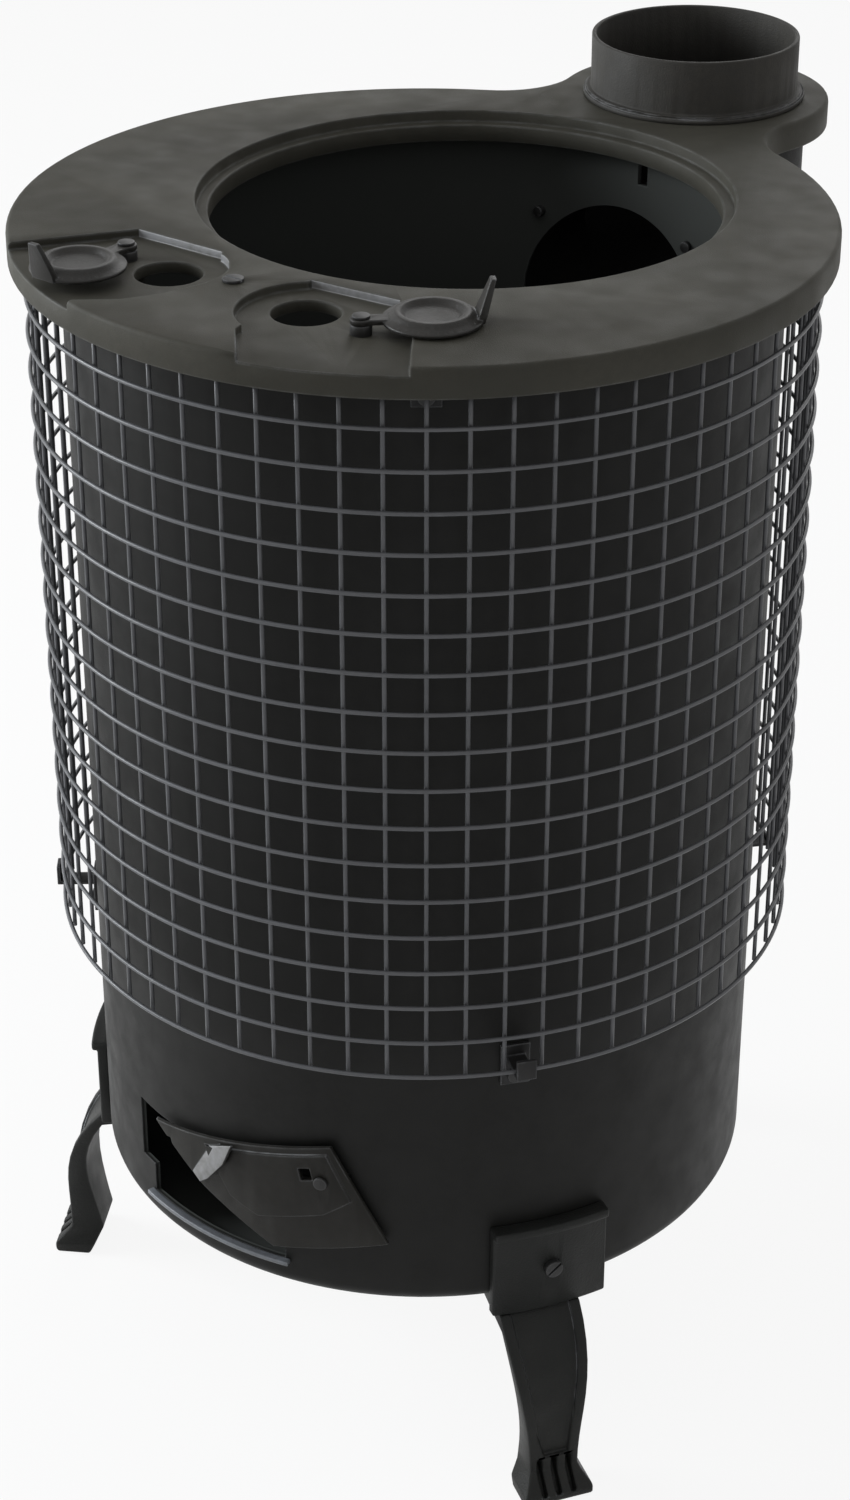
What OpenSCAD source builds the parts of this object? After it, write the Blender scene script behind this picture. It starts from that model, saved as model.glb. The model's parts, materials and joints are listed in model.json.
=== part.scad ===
// Free-standing round stove: a sheet-steel drum on three cast legs, a cast top plate with a pot
// opening, a flue spigot behind it, a wire guard round the drum and a draught shutter at the ash opening.
// Millimetres, +Z up, floor at z = 0, origin in the middle of the footprint. The front faces -Y.

/* [Top plate] */
// Radius of the round top plate
plate_r = 200; // [190:1:210]
// Height of the top face above the floor
plate_z = 636; // [620:1:660]
// Thickness of the plate's web
plate_web = 10; // [8:1:11]
// Height of the rim, top face to lower edge
rim_h = 15; // [13:1:18]
// Thickness of the rim's skirt
rim_t = 6; // [5:0.5:7]
// Radius of the hole in the pot opening
pot_hole_r = 126; // [118:1:128]
// Width of the ledge that a pot or a lid sits on
pot_ledge_w = 6; // [4:1:8]
// Depth of the ledge below the top face
pot_ledge_d = 6; // [4:0.5:7]
// Distance of the pot opening behind the plate's centre
pot_y = 34; // [28:1:36]
// Radius of the ear that carries the flue spigot
ear_r = 72; // [68:1:76]
// Distance of the flue behind the plate's centre
flue_y = 240; // [236:1:246]
// Radius of the hollow curve between the plate and the ear
neck_r = 40; // [30:1:50]

/* [Air ports] */
// Radius of each air port
port_r = 16; // [12:0.5:17]
// Sideways distance of the right air port from the centre line
port_right_x = 33.2; // [31:0.2:35]
// Distance of the right air port in front of the plate's centre
port_right_y = 131.2; // [129:0.2:133]
// Sideways distance of the left air port from the centre line
port_left_x = 48.6; // [47:0.2:50]
// Distance of the left air port in front of the plate's centre
port_left_y = 130.5; // [129:0.1:132]
// Depth of the two sunk fields
field_d = 4; // [3:0.5:6]
// Sideways distance of the right field's middle from the centre line
field_x = 40.6; // [39:0.2:42]
// Distance of the right field's middle in front of the plate's centre
field_y = 139; // [137:0.5:141]
// Radius of the curved wall of the right field
field_right_r = 36; // [34:0.5:37]
// Radius of the curved wall of the left field
field_left_r = 28; // [27:0.5:29]
// Angle of the right field's outer side from the front
field_side_a = 35.3; // [34:0.1:37]

/* [Port covers] */
// Radius of a cover's round end
cover_r = 22.5; // [21:0.5:23]
// Radius of a cover's end at its pin
cover_end_r = 5; // [4.5:0.5:7]
// Width of a cover's neck between its two ends
cover_neck = 8; // [6:0.5:9]
// Distance from a cover's pin to its finger tab
tab_reach = 54; // [53:0.5:56]
// Height of a cover's finger tab
tab_h = 19; // [14:1:24]
// Width of a cover's finger tab at its foot
tab_w = 14; // [10:1:18]
// Width of a cover's finger tab at its tip
tab_tip = 5; // [3:0.5:8]
// Outward lean of a cover's finger tab
tab_lean = 16; // [5:1:22]
// Thickness of a cover
cover_t = 2.6; // [2:0.1:3]
// Distance from a cover's pin to the middle of its round end
cover_arm = 31.5; // [30:0.5:33]
// Sideways distance of the right pin from the centre line
pin_right_x = 68.5; // [67:0.5:70]
// Distance of the right pin in front of the plate's centre
pin_right_y = 136.5; // [135:0.5:138]
// Sideways distance of the left pin from the centre line
pin_left_x = 76.5; // [75:0.5:78]
// Distance of the left pin in front of the plate's centre
pin_left_y = 128; // [127:0.5:130]
// Height of a cover's underside above the top face
cover_gap = 1; // [0.5:0.1:2]
// Radius of a cover's pin
pin_r = 2.5; // [2:0.1:3]
// Direction of the left cover from its pin, turned back from straight right
left_turn = 92.5; // [88:0.5:97]
// Direction of the right cover from its pin, turned on from straight right
right_turn = 42.5; // [38:0.5:47]
// Gap round a pin or rivet
pin_play = 0.05; // [0.02:0.01:0.1]

/* [Flue] */
// Outside radius of the flue spigot
spigot_r = 55; // [53:0.5:57]
// Wall of the flue spigot
spigot_wall = 2.5; // [2:0.1:3.5]
// Height of the spigot above the plate
spigot_h = 32; // [25:1:40]
// Outside radius of the spigot's foot ring
spigot_foot_r = 59; // [58:0.5:62]
// Outside radius of the downpipe under the ear
down_r = 60; // [58:0.5:64]
// Wall of the downpipe and the elbow
elbow_wall = 4; // [3:0.5:5]
// Height of the elbow's axis above the floor
elbow_z = 534; // [528:1:540]

/* [Drum] */
// Outside radius of the drum
drum_r = 175.5; // [174:0.5:177]
// Thickness of the drum's sheet
drum_t = 3; // [2:0.5:4]
// Height of the drum's underside above the floor
drum_z = 110; // [105:1:114]
// Outside radius of the drum's bottom corner
drum_corner = 10; // [6:1:14]

/* [Ash opening] */
// Angle of the opening's middle, from the front, positive towards the stove's right
ash_mid = -2; // [-4:0.5:0]
// Half width of the wide upper part, as an angle
ash_half = 19; // [18:0.5:20]
// Half width of the narrow lower part, as an angle
ash_low_half = 15; // [13:0.5:16]
// Height of the opening's top edge above the floor
ash_top = 182; // [178:1:184]
// Height of the step between the two parts above the floor
ash_step = 146; // [142:1:150]
// Height of the opening's lower edge above the floor
ash_sill = 129; // [127:1:132]

/* [Draught shutter] */
// Thickness of the shutter
shut_t = 2.5; // [2:0.1:3]
// Gap between the drum and the shutter
shut_gap = 2.5; // [2.2:0.1:3]
// Lean of the shutter as it hangs, right end up
shut_lean = 13.5; // [12:0.5:15]
// Angle of the shutter's rivet from the front
rivet_a = 20.4; // [19:0.2:22]
// Height of the shutter's rivet above the floor
rivet_z = 187; // [186:0.5:190]
// Radius of the shutter's rivet
rivet_r = 2.8; // [2.5:0.1:3]
// How far the shutter slides towards closed, as an angle
slide_shut = 9; // [6:0.5:10]
// How far the shutter slides towards open, as an angle
slide_open = 3.5; // [2:0.5:5]

/* [Wire guard] */
// Radius of the guard, to the middle of a hoop's wire
guard_r = 192.5; // [191.5:0.25:193]
// Radius of the wire
wire_r = 1.1; // [1:0.05:1.2]
// Number of hoops
hoops = 18; // [12:1:20]
// Height of the top hoop above the floor
hoop_top = 604.5; // [600:0.5:610]
// Distance between hoops
hoop_pitch = 20; // [18:0.5:20]
// Angle between uprights
upright_step = 5.75; // [5:0.25:8]
// Number of uprights on each side of the front
upright_half = 26; // [25:1:26]
// Gap between the uprights and the hoops that they carry
weld_gap = 0.05; // [0.02:0.01:0.1]

/* [Legs] */
// Width of a leg at its top
leg_w = 44; // [38:1:48]
// Width of a leg's bracket plate
bracket_w = 63; // [58:1:66]
// Height of a bracket plate's top edge above the floor
bracket_top = 158; // [154:1:162]
// Height of a bracket plate's lower edge above the floor
bracket_low = 104; // [100:1:106]
// Thickness of a bracket plate
bracket_t = 6; // [5:0.5:7]
// Height of the leg bolts above the floor
bolt_z = 130; // [126:1:132]
// Radius of a leg bolt
bolt_r = 2.5; // [2:0.5:4]
// Distance of a leg's toe from the drum's axis
toe_r = 214; // [212:1:220]

/* [Fire grate] */
// Height of the grate's top face above the floor
grate_z = 250; // [240:1:260]
// Thickness of the grate
grate_t = 10; // [8:1:14]
// Radius of the grate
grate_r = 160; // [150:1:164]

/* [Hidden] */
$fn = 96;

reach = flue_y + ear_r;
axis_y = (plate_r - reach) / 2;
cut = 1;
touch = 0.1;
neck_far = plate_r + neck_r;
neck_near = ear_r + neck_r;
neck_y = (neck_far * neck_far - neck_near * neck_near + flue_y * flue_y) / (2 * flue_y);
neck_x = sqrt(neck_far * neck_far - neck_y * neck_y);
web_z = plate_z - plate_web;
rim_z = plate_z - rim_h;
ledge_r = pot_hole_r + pot_ledge_w;
ledge_z = plate_z - pot_ledge_d;
boss_wall = 8;
drum_in = drum_r - drum_t;
pins = [[-pin_left_x, -pin_left_y], [pin_right_x, -pin_right_y]];
ports = [[-port_left_x, -port_left_y], [port_right_x, -port_right_y]];
cover_z = plate_z + cover_gap;
shut_in = drum_r + shut_gap;
shut_out = shut_in + shut_t;
upright_r = guard_r - 2 * wire_r - weld_gap;
hoop_end = (upright_half - 0.5) * upright_step + 0.4;
hoop_low = hoop_top - (hoops - 1) * hoop_pitch;
elbow_in = down_r - elbow_wall;
joint_z = elbow_z + down_r;
leg_angles = [56.5, -60, 180];
bracket_angles = [58.3, -60, 180];
guard_bracket_angles = [for (k = [-16.5, -6.5, 6.5, 16.5]) k * upright_step];
guard_hook_angles = [for (k = [-24, -9, 9, 24]) k * upright_step];
guard_bracket_h = 12;
guard_bracket_z = rim_z - guard_bracket_h - 0.5;
guard_rivet_r = 2;
elbow_rivet_r = 3;
flange_w = 12;
seat_play = 0.3;
plate_seat = 5;
land_x = 11.9;
land_y = 128;
land_screw_r = 2.5;
land_screw_l = 9;
field_rise = 1.2;
pull_lean = 15;
pull_tilt = 59.7;
pull_a = 21.9;
pull_s = -8.2;
pull_drop = 20.9;
pull_t = 2;
slot_play = 0.3;
shut_up = 20;
shut_down = 42;
shut_w = 109;
foot_bolt_y = 158;
ankle_z = 16;
ankle_half = 13.5;
foot_half = 19;
belly_z = 40;
leg_out = 205;
stud_l = 9;
hanger_a = 4.5;
hanger_w = 6;
hanger_h = 16;
hanger_z = 605;
iron = [0.2, 0.195, 0.185];
steel = [0.17, 0.17, 0.175];
dark = [0.1, 0.1, 0.105];
bright = [0.45, 0.45, 0.45];

// Moves a piece from the drum's axis to its place in the footprint.
module at_drum() {
    translate([0, axis_y, 0]) children();
}

// Turns a piece that points to the front (-Y) by a stove angle, positive to the stove's right.
module at_angle(a) {
    rotate([0, 0, a]) children();
}

// The land between the disc, the ear and the middles of the two hollow curves.
module neck_outline() {
    a = plate_r / neck_far;
    b = ear_r / neck_near;
    polygon([
        [-neck_x * a, neck_y * a], [0, 0], [neck_x * a, neck_y * a], [neck_x, neck_y],
        [neck_x * b, flue_y + (neck_y - flue_y) * b], [0, flue_y],
        [-neck_x * b, flue_y + (neck_y - flue_y) * b], [-neck_x, neck_y]]);
}

// The plate's outline, drawn in by a distance all round: disc, ear and the hollow curves between.
module plate_outline(inset) {
    circle(r = plate_r - inset, $fn = 180);
    translate([0, flue_y]) circle(r = ear_r - inset);
    difference() {
        neck_outline();
        translate([neck_x, neck_y]) circle(r = neck_r + inset);
        translate([-neck_x, neck_y]) circle(r = neck_r + inset);
    }
}

// The right sunk field, open at the rim.
module field_right() {
    side = [sin(field_side_a), -cos(field_side_a)];
    intersection() {
        union() {
            translate([field_x, 5 - field_y]) circle(r = field_right_r);
            polygon([
                [field_x - 25, 34 - field_y], [field_x + 22, 38 - field_y], side * (plate_r - 50),
                side * (plate_r + 10), [field_x + 40, -plate_r - 16], [field_x + 9, -plate_r - 10],
                [field_x + 5, -plate_r + 6], [field_x - 14, -field_y - 33]]);
        }
        polygon([
            [-field_x, 29 - field_y], [field_x + 120, 45 - field_y],
            [field_x + 120, -plate_r - 40], [-field_x, -plate_r - 40]]);
    }
}

// The left sunk field: a round wall beside the port, and sides that run out over the rim.
module field_left() {
    translate(ports[0]) {
        circle(r = field_left_r);
        polygon([
            [7.6, 29], [-43.9, 28.9], [-89.4, -34.5], [-51.4, -85.5], [-11.4, -76.5],
            [-6.1, -58.9], [10.6, -45.5], [21.6, -27.5], [27.8, -6.5]]);
    }
}

module top_plate() {
    color(iron) at_drum() difference() {
        translate([0, 0, rim_z]) linear_extrude(rim_h) plate_outline(0);
        difference() {
            translate([0, 0, rim_z - cut]) linear_extrude(rim_h - plate_web + cut) plate_outline(rim_t);
            translate([0, pot_y, rim_z - 2 * cut]) cylinder(r = ledge_r + boss_wall, h = rim_h);
            translate([0, flue_y, rim_z - 2 * cut]) cylinder(r = down_r, h = rim_h);
            for (p = pins)
                translate([p[0], p[1], rim_z - 2 * cut]) cylinder(r = 3 * pin_r, h = rim_h);
        }
        translate([0, pot_y, rim_z - cut]) cylinder(r = pot_hole_r, h = rim_h + 2 * cut, $fn = 180);
        translate([0, pot_y, ledge_z]) cylinder(r = ledge_r, h = pot_ledge_d + cut, $fn = 180);
        translate([0, flue_y, rim_z - cut])
            cylinder(r = spigot_r - spigot_wall, h = rim_h + 2 * cut);
        for (p = ports)
            translate([p[0], p[1], rim_z - cut]) cylinder(r = port_r, h = rim_h + 2 * cut);
        for (p = pins)
            translate([p[0], p[1], rim_z - cut]) cylinder(r = pin_r + pin_play, h = rim_h + 2 * cut);
        translate([-land_x, -land_y, plate_z - land_screw_l]) cylinder(r = land_screw_r, h = plate_web);
        translate([0, 0, plate_z - field_d]) linear_extrude(field_d + cut) field_right();
        translate([0, 0, plate_z - field_d]) linear_extrude(field_d + cut) field_left();
        difference() {
            translate([0, 0, rim_z - cut]) cylinder(r = drum_r + seat_play, h = plate_seat + cut);
            translate([0, 0, rim_z - 2 * cut]) cylinder(r = drum_in - seat_play, h = rim_h);
        }
    }
}

// A port cover: pin end at the origin, dished round end and upturned finger tab along +X.
module port_cover() {
    edge_h = 1.6;
    slope_w = 3;
    crest_h = 5;
    crest_r = [14.5, 17];
    dish_r = 12;
    tip = tab_reach + tab_h * tan(tab_lean);
    difference() {
        union() {
            cylinder(r = cover_end_r, h = cover_t);
            translate([0, -cover_neck / 2, 0]) cube([cover_arm - crest_r[0], cover_neck, cover_t]);
            translate([cover_arm, 0, 0]) rotate_extrude()
                polygon([
                    [0, 0], [cover_r, 0], [cover_r, edge_h], [cover_r - slope_w, cover_t],
                    [crest_r[1], crest_h], [crest_r[0], crest_h], [dish_r, cover_t], [0, cover_t]]);
            intersection() {
                translate([0, tab_w / 2, 0]) rotate([90, 0, 0]) linear_extrude(tab_w)
                    polygon([
                        [tab_reach - slope_w, 0], [tab_reach, 0], [tip, tab_h], [tip - cover_t, tab_h],
                        [tab_reach - slope_w, cover_t]]);
                rotate([90, 0, 90]) linear_extrude(2 * tab_reach)
                    polygon([
                        [-tab_w / 2, -cut], [tab_w / 2, -cut], [tab_w / 2, crest_h - 1],
                        [tab_tip / 2, tab_h + cut], [-tab_tip / 2, tab_h + cut],
                        [-tab_w / 2, crest_h - 1]]);
            }
        }
        translate([0, 0, -cut]) cylinder(r = pin_r + pin_play, h = 5 * cover_t);
    }
}

// A cover's pin: shank through the plate, shoulder under the cover, head over it and nut below.
module cover_pin() {
    translate([0, 0, rim_z - 3]) cylinder(r = pin_r, h = cover_z + cover_t + 0.1 - rim_z + 3);
    translate([0, 0, plate_z - field_d]) cylinder(r = pin_r + 2.5, h = field_d + cover_gap - 0.1);
    translate([0, 0, cover_z + cover_t + 0.1]) cylinder(r = pin_r + 1.5, h = 1.2);
    translate([0, 0, rim_z - 3]) cylinder(r = pin_r + 2.5, h = 3, $fn = 6);
}

module cover_left() {
    color(iron) at_drum() translate([pins[0][0], pins[0][1], cover_z])
        rotate([0, 0, -left_turn]) port_cover();
}

module cover_right() {
    color(iron) at_drum() translate([pins[1][0], pins[1][1], cover_z])
        rotate([0, 0, right_turn]) port_cover();
}

module pin_left() {
    color(bright) at_drum() translate([pins[0][0], pins[0][1], 0]) cover_pin();
}

module pin_right() {
    color(bright) at_drum() translate([pins[1][0], pins[1][1], 0]) cover_pin();
}

module land_screw() {
    color(bright) at_drum() translate([-land_x, -land_y, 0]) difference() {
        union() {
            translate([0, 0, plate_z - land_screw_l]) cylinder(r = land_screw_r, h = land_screw_l);
            translate([0, 0, plate_z]) cylinder(r = 2 * land_screw_r, h = 1.6);
        }
        translate([-land_screw_l, -0.5, plate_z + 0.8]) cube([2 * land_screw_l, 1, 2]);
    }
}

module flue_spigot() {
    foot_h = 4;
    color(iron) at_drum() translate([0, flue_y, plate_z]) difference() {
        union() {
            cylinder(r = spigot_r, h = spigot_h);
            cylinder(r = spigot_foot_r, h = foot_h - 1.5);
            cylinder(r = spigot_foot_r - 1.5, h = foot_h);
        }
        translate([0, 0, -cut]) cylinder(r = spigot_r - spigot_wall, h = spigot_h + 2 * cut);
    }
}

// The elbow's shape at a radius: a pipe down from the plate, a round corner and a pipe to the drum.
module elbow_form(r, top, front) {
    translate([0, flue_y, elbow_z]) cylinder(r = r, h = top - elbow_z);
    translate([0, flue_y, elbow_z]) sphere(r = r);
    translate([0, flue_y, elbow_z]) rotate([90, 0, 0]) cylinder(r = r, h = flue_y - front);
}

// The straight pipe between the ear and the elbow.
module flue_downpipe() {
    color(dark) at_drum() translate([0, flue_y, joint_z]) difference() {
        cylinder(r = down_r, h = rim_z - joint_z);
        translate([0, 0, -cut]) cylinder(r = elbow_in, h = rim_z - joint_z + 2 * cut);
    }
}

module flue_elbow() {
    color(dark) at_drum() difference() {
        union() {
            elbow_form(down_r, joint_z, drum_r - 25);
            intersection() {
                translate([0, 0, elbow_z - 2 * down_r]) cylinder(r = drum_r + elbow_wall, h = 4 * down_r);
                translate([0, flue_y, elbow_z]) rotate([90, 0, 0])
                    cylinder(r = down_r + flange_w, h = flue_y - drum_r / 2);
            }
        }
        elbow_form(elbow_in, joint_z + cut, drum_r / 2);
        translate([0, 0, elbow_z - 3 * down_r]) cylinder(r = drum_r, h = 6 * down_r);
        elbow_rivet_places() cylinder(r = elbow_rivet_r, h = 30);
    }
}

// The four rivets round the elbow's flange, each along +Z from inside the drum.
module elbow_rivet_places() {
    for (a = [45 : 90 : 315])
        translate([0, drum_in - 10, elbow_z]) rotate([-90, 0, 0])
            rotate([0, 0, a]) translate([down_r + flange_w / 2, 0, 0]) children();
}

module elbow_rivets() {
    color(bright) at_drum() intersection() {
        elbow_rivet_places() {
            cylinder(r = elbow_rivet_r, h = 30);
            cylinder(r = 2 * elbow_rivet_r, h = 30);
        }
        difference() {
            translate([0, 0, elbow_z - 2 * down_r])
                cylinder(r = drum_r + elbow_wall + 2, h = 4 * down_r);
            translate([0, 0, elbow_z - 3 * down_r])
                cylinder(r = drum_r + elbow_wall, h = 6 * down_r);
        }
    }
    color(bright) at_drum() intersection() {
        elbow_rivet_places() cylinder(r = elbow_rivet_r, h = 30);
        translate([0, 0, elbow_z - 2 * down_r]) cylinder(r = drum_r + elbow_wall, h = 4 * down_r);
    }
}

// The drum's solid of revolution up to a height, with a rounded bottom corner.
module drum_form(r, z, corner, top) {
    rotate_extrude($fn = 180) {
        translate([0, z]) square([r - corner, top - z]);
        translate([0, z + corner]) square([r, top - z - corner]);
        translate([r - corner, z + corner]) circle(r = corner);
    }
}

// A plain length of the drum's wall.
module drum_tube(low, top) {
    difference() {
        translate([0, 0, low]) cylinder(r = drum_r, h = top - low, $fn = 180);
        translate([0, 0, low - cut]) cylinder(r = drum_in, h = top - low + 2 * cut, $fn = 180);
    }
}

// A block between two stove angles and two heights, wide enough to cut the drum's wall.
module sector(a1, a2, z1, z2) {
    far = 1.3 * drum_r;
    translate([0, 0, z1]) linear_extrude(z2 - z1)
        polygon([[0, 0], far * [sin(a1), -cos(a1)], far * [sin(a2), -cos(a2)]]);
}

// The leg bolts' places, each along +Z outwards from the drum's axis.
module leg_bolt_places() {
    for (a = bracket_angles) at_angle(a) translate([0, 0, bolt_z]) rotate([90, 0, 0]) children();
}

// The drum above the ash opening, with the flue's hole behind and the shutter's slot in front.
module body_drum() {
    color(steel) at_drum() difference() {
        drum_tube(ash_top, web_z);
        translate([0, drum_r / 2, elbow_z]) rotate([-90, 0, 0]) cylinder(r = elbow_in, h = drum_r);
        elbow_rivet_places() cylinder(r = elbow_rivet_r, h = 30);
        sector(
            rivet_a - slide_shut, rivet_a + slide_open,
            rivet_z - rivet_r - slot_play, rivet_z + rivet_r + slot_play);
        for (a = [rivet_a - slide_shut, rivet_a + slide_open])
            at_angle(a) translate([0, 0, rivet_z]) rotate([90, 0, 0])
                cylinder(r = rivet_r + slot_play, h = 1.2 * drum_r);
        at_angle(180 - hanger_a) translate([-hanger_w / 2, -drum_r - cut, hanger_z])
            cube([hanger_w, 4 * drum_t, hanger_h]);
    }
}

// The drum's length beside the ash opening.
module drum_ash_ring() {
    color(steel) at_drum() difference() {
        drum_tube(ash_sill, ash_top);
        sector(ash_mid - ash_half, ash_mid + ash_half, ash_step, ash_top + cut);
        sector(ash_mid - ash_low_half, ash_mid + ash_low_half, ash_sill - cut, ash_step + touch);
        leg_bolt_places() cylinder(r = bolt_r, h = 1.2 * drum_r);
    }
}

// The drum's floor with its rounded corner, up to the ash opening's lower edge.
module drum_pan() {
    color(steel) at_drum() difference() {
        drum_form(drum_r, drum_z, drum_corner, ash_sill);
        drum_form(drum_in, drum_z + drum_t, drum_corner - drum_t, ash_sill + cut);
        leg_bolt_places() cylinder(r = bolt_r, h = 1.2 * drum_r);
        for (a = leg_angles) at_angle(a) translate([0, -foot_bolt_y, drum_z - cut])
            cylinder(r = bolt_r, h = drum_t + 2 * cut);
    }
}

// The shutter's outline when level, with its rivet at the origin.
module shutter_outline() {
    polygon([
        [-shut_w + 10, shut_up], [10, shut_up], [25, -shut_down], [-38, 1 - shut_down],
        [-74, -10]]);
}

// The raised field inside the shutter's edges.
module shutter_field() {
    polygon([
        [-shut_w + 44, shut_up - 4], [7, shut_up - 4], [13, -13], [-4, -20], [-42, -22], [-56, -12]]);
}

// Carries a flat outline onto the round wall, turned as the shutter hangs.
module on_wall(inner, outer) {
    at_angle(rivet_a) intersection() {
        translate([0, 0, rivet_z]) rotate([90, 0, 0]) linear_extrude(2 * drum_r) rotate(shut_lean) children();
        difference() {
            translate([0, 0, rivet_z - 80]) cylinder(r = outer, h = 160, $fn = 180);
            translate([0, 0, rivet_z - 81]) cylinder(r = inner, h = 162, $fn = 180);
        }
    }
}

module ash_shutter() {
    color(steel) at_drum() difference() {
        union() {
            on_wall(shut_in, shut_out) shutter_outline();
            on_wall(shut_out - touch, shut_out + field_rise) shutter_field();
            finger_pull();
        }
        at_angle(rivet_a) translate([0, 0, rivet_z]) rotate([90, 0, 0])
            cylinder(r = rivet_r + pin_play, h = 2 * drum_r);
        on_wall(shut_in - cut, shut_out + cut) translate([12 - shut_w, 9]) square([7, 3.5]);
        on_wall(shut_in - cut, shut_out + field_rise + cut)
            translate([-rivet_r - 7.5, 1.5]) square([6, 7]);
    }
}

// The leaf bent forward from the shutter near its left end: its fold runs up to the right.
module finger_pull() {
    difference() {
        at_angle(rivet_a - pull_a) translate([pull_s, 1.2 - shut_out, rivet_z - pull_drop])
            rotate([0, -pull_tilt, 0]) rotate([-pull_lean, 0, 0])
                rotate([90, 0, 0]) linear_extrude(pull_t)
                    polygon([[0, 0], [25.6, 0], [42.1, -10.7], [26.9, -12.9], [8.3, -10.2], [1.1, -7.6]]);
        translate([0, 0, rivet_z - 80]) cylinder(r = shut_in + touch, h = 160, $fn = 180);
    }
}

module shutter_rivet() {
    color(bright) at_drum() at_angle(rivet_a) translate([0, 0, rivet_z]) rotate([90, 0, 0]) {
        translate([0, 0, drum_in - 3.5])
            cylinder(r = rivet_r, h = shut_out + field_rise + 0.1 - drum_in + 3.5);
        translate([0, 0, shut_out + field_rise + 0.1]) cylinder(r = rivet_r + 0.8, h = 1.5);
    }
}

module shutter_keeper() {
    color(bright) at_drum() at_angle(rivet_a) translate([0, 0, rivet_z]) rotate([90, 0, 0])
        translate([0, 0, drum_in - 2.8]) difference() {
            cylinder(r = 3 * rivet_r, h = 2);
            translate([0, 0, -cut]) cylinder(r = rivet_r, h = 2 + 2 * cut);
        }
}

// A narrow lip along the opening's lower edge.
module ash_sill_lip() {
    lip_h = 2.5;
    color(bright) at_drum() intersection() {
        sector(ash_mid - ash_low_half - 1, ash_mid + ash_low_half + 1, ash_sill - lip_h, ash_sill);
        difference() {
            translate([0, 0, ash_sill - lip_h]) cylinder(r = drum_r + 4, h = lip_h, $fn = 180);
            translate([0, 0, ash_sill - lip_h - cut]) cylinder(r = drum_r, h = lip_h + 2 * cut, $fn = 180);
        }
    }
}

module guard_hoops() {
    color(dark) at_drum() for (k = [0 : hoops - 1])
        translate([0, 0, hoop_top - k * hoop_pitch]) rotate([0, 0, -90 - hoop_end])
            rotate_extrude(angle = 2 * hoop_end, $fn = 180)
                translate([guard_r, 0]) circle(r = wire_r, $fn = 16);
}

module guard_uprights() {
    color(dark) at_drum() for (k = [-upright_half : upright_half - 1])
        at_angle((k + 0.5) * upright_step) translate([0, -upright_r, hoop_low - 2])
            cylinder(r = wire_r, h = web_z - 3 - hoop_low + 2, $fn = 16);
}

// Angle brackets under the plate's rim that hold the guard's uprights off the drum.
module guard_brackets() {
    color(steel) at_drum() for (a = guard_bracket_angles) at_angle(a) difference() {
        union() {
            translate([-7, -drum_r - 2, guard_bracket_z]) cube([14, 4, guard_bracket_h]);
            translate([-5, -upright_r + wire_r, guard_bracket_z + guard_bracket_h - 2])
                cube([10, upright_r - wire_r - drum_r + 2, 2]);
        }
        translate([0, 0, hoop_top - 40]) cylinder(r = drum_r, h = 60, $fn = 180);
        translate([0, 0, guard_bracket_z + 5]) rotate([90, 0, 0])
            cylinder(r = guard_rivet_r, h = 2 * drum_r);
    }
}

// Hooks on the drum that carry the lowest hoop.
module guard_hooks() {
    arm_z = hoop_low - wire_r - weld_gap;
    color(steel) at_drum() for (a = guard_hook_angles) at_angle(a) difference() {
        union() {
            translate([-7.5, -drum_r - 2, arm_z - 17]) cube([15, 4, 23]);
            translate([-5, -guard_r - 4.5, arm_z - 2]) cube([10, guard_r - drum_r + 4.5, 2]);
            translate([-5, -guard_r - 4.5, arm_z - 2]) cube([10, 2, 11]);
        }
        translate([0, 0, arm_z - 40]) cylinder(r = drum_r, h = 80, $fn = 180);
        translate([0, 0, arm_z - 12]) rotate([90, 0, 0]) cylinder(r = guard_rivet_r, h = 2 * drum_r);
    }
}

module guard_rivets() {
    color(bright) at_drum() {
        for (a = guard_bracket_angles)
            at_angle(a) translate([0, -drum_r, guard_bracket_z + 5]) rotate([90, 0, 0]) guard_rivet();
        for (a = guard_hook_angles)
            at_angle(a) translate([0, -drum_r, hoop_low - wire_r - weld_gap - 12])
                rotate([90, 0, 0]) guard_rivet();
    }
}

// A rivet on the drum's outside, along +Z.
module guard_rivet() {
    cylinder(r = guard_rivet_r, h = 2);
    translate([0, 0, 2]) cylinder(r = 2 * guard_rivet_r, h = 1.2);
}

// A bracket plate that hugs the drum above a leg, facing the front.
module leg_bracket(a) {
    lip = 3;
    color(steel) at_drum() at_angle(a) difference() {
        union() {
            intersection() {
                translate([0, 0, bracket_low]) cylinder(r = drum_r + bracket_t, h = bracket_top - bracket_low);
                translate([-bracket_w / 2, -2 * drum_r, bracket_low])
                    cube([bracket_w, 2 * drum_r, bracket_top - bracket_low]);
            }
            intersection() {
                translate([0, 0, bracket_top - 5]) cylinder(r = drum_r + bracket_t + lip, h = 5);
                translate([-bracket_w / 2, -2 * drum_r, bracket_top - 5]) cube([bracket_w, 2 * drum_r, 5]);
            }
        }
        translate([0, 0, bracket_low - cut])
            cylinder(r = drum_r, h = bracket_top - bracket_low + 2 * cut, $fn = 180);
        translate([0, 0, bolt_z]) rotate([90, 0, 0]) cylinder(r = bolt_r, h = 2 * drum_r);
    }
}

// Radius of a leg's front edge at a height.
function leg_front(z) =
    leg_out - (leg_out - drum_r - bracket_t + 1) * pow(max(z - belly_z, 0) / (bracket_low - belly_z), 2.6);
// Half width of a leg at a height.
function leg_half(z) =
    ankle_half + (leg_w / 2 - ankle_half) * (1 - cos(180 * (z - ankle_z) / (bracket_low - ankle_z))) / 2;
// Radial depth of a leg at a height.
function leg_deep(z) = 7 + 12 * pow((bracket_low - z) / (bracket_low - ankle_z), 1.6);

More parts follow.
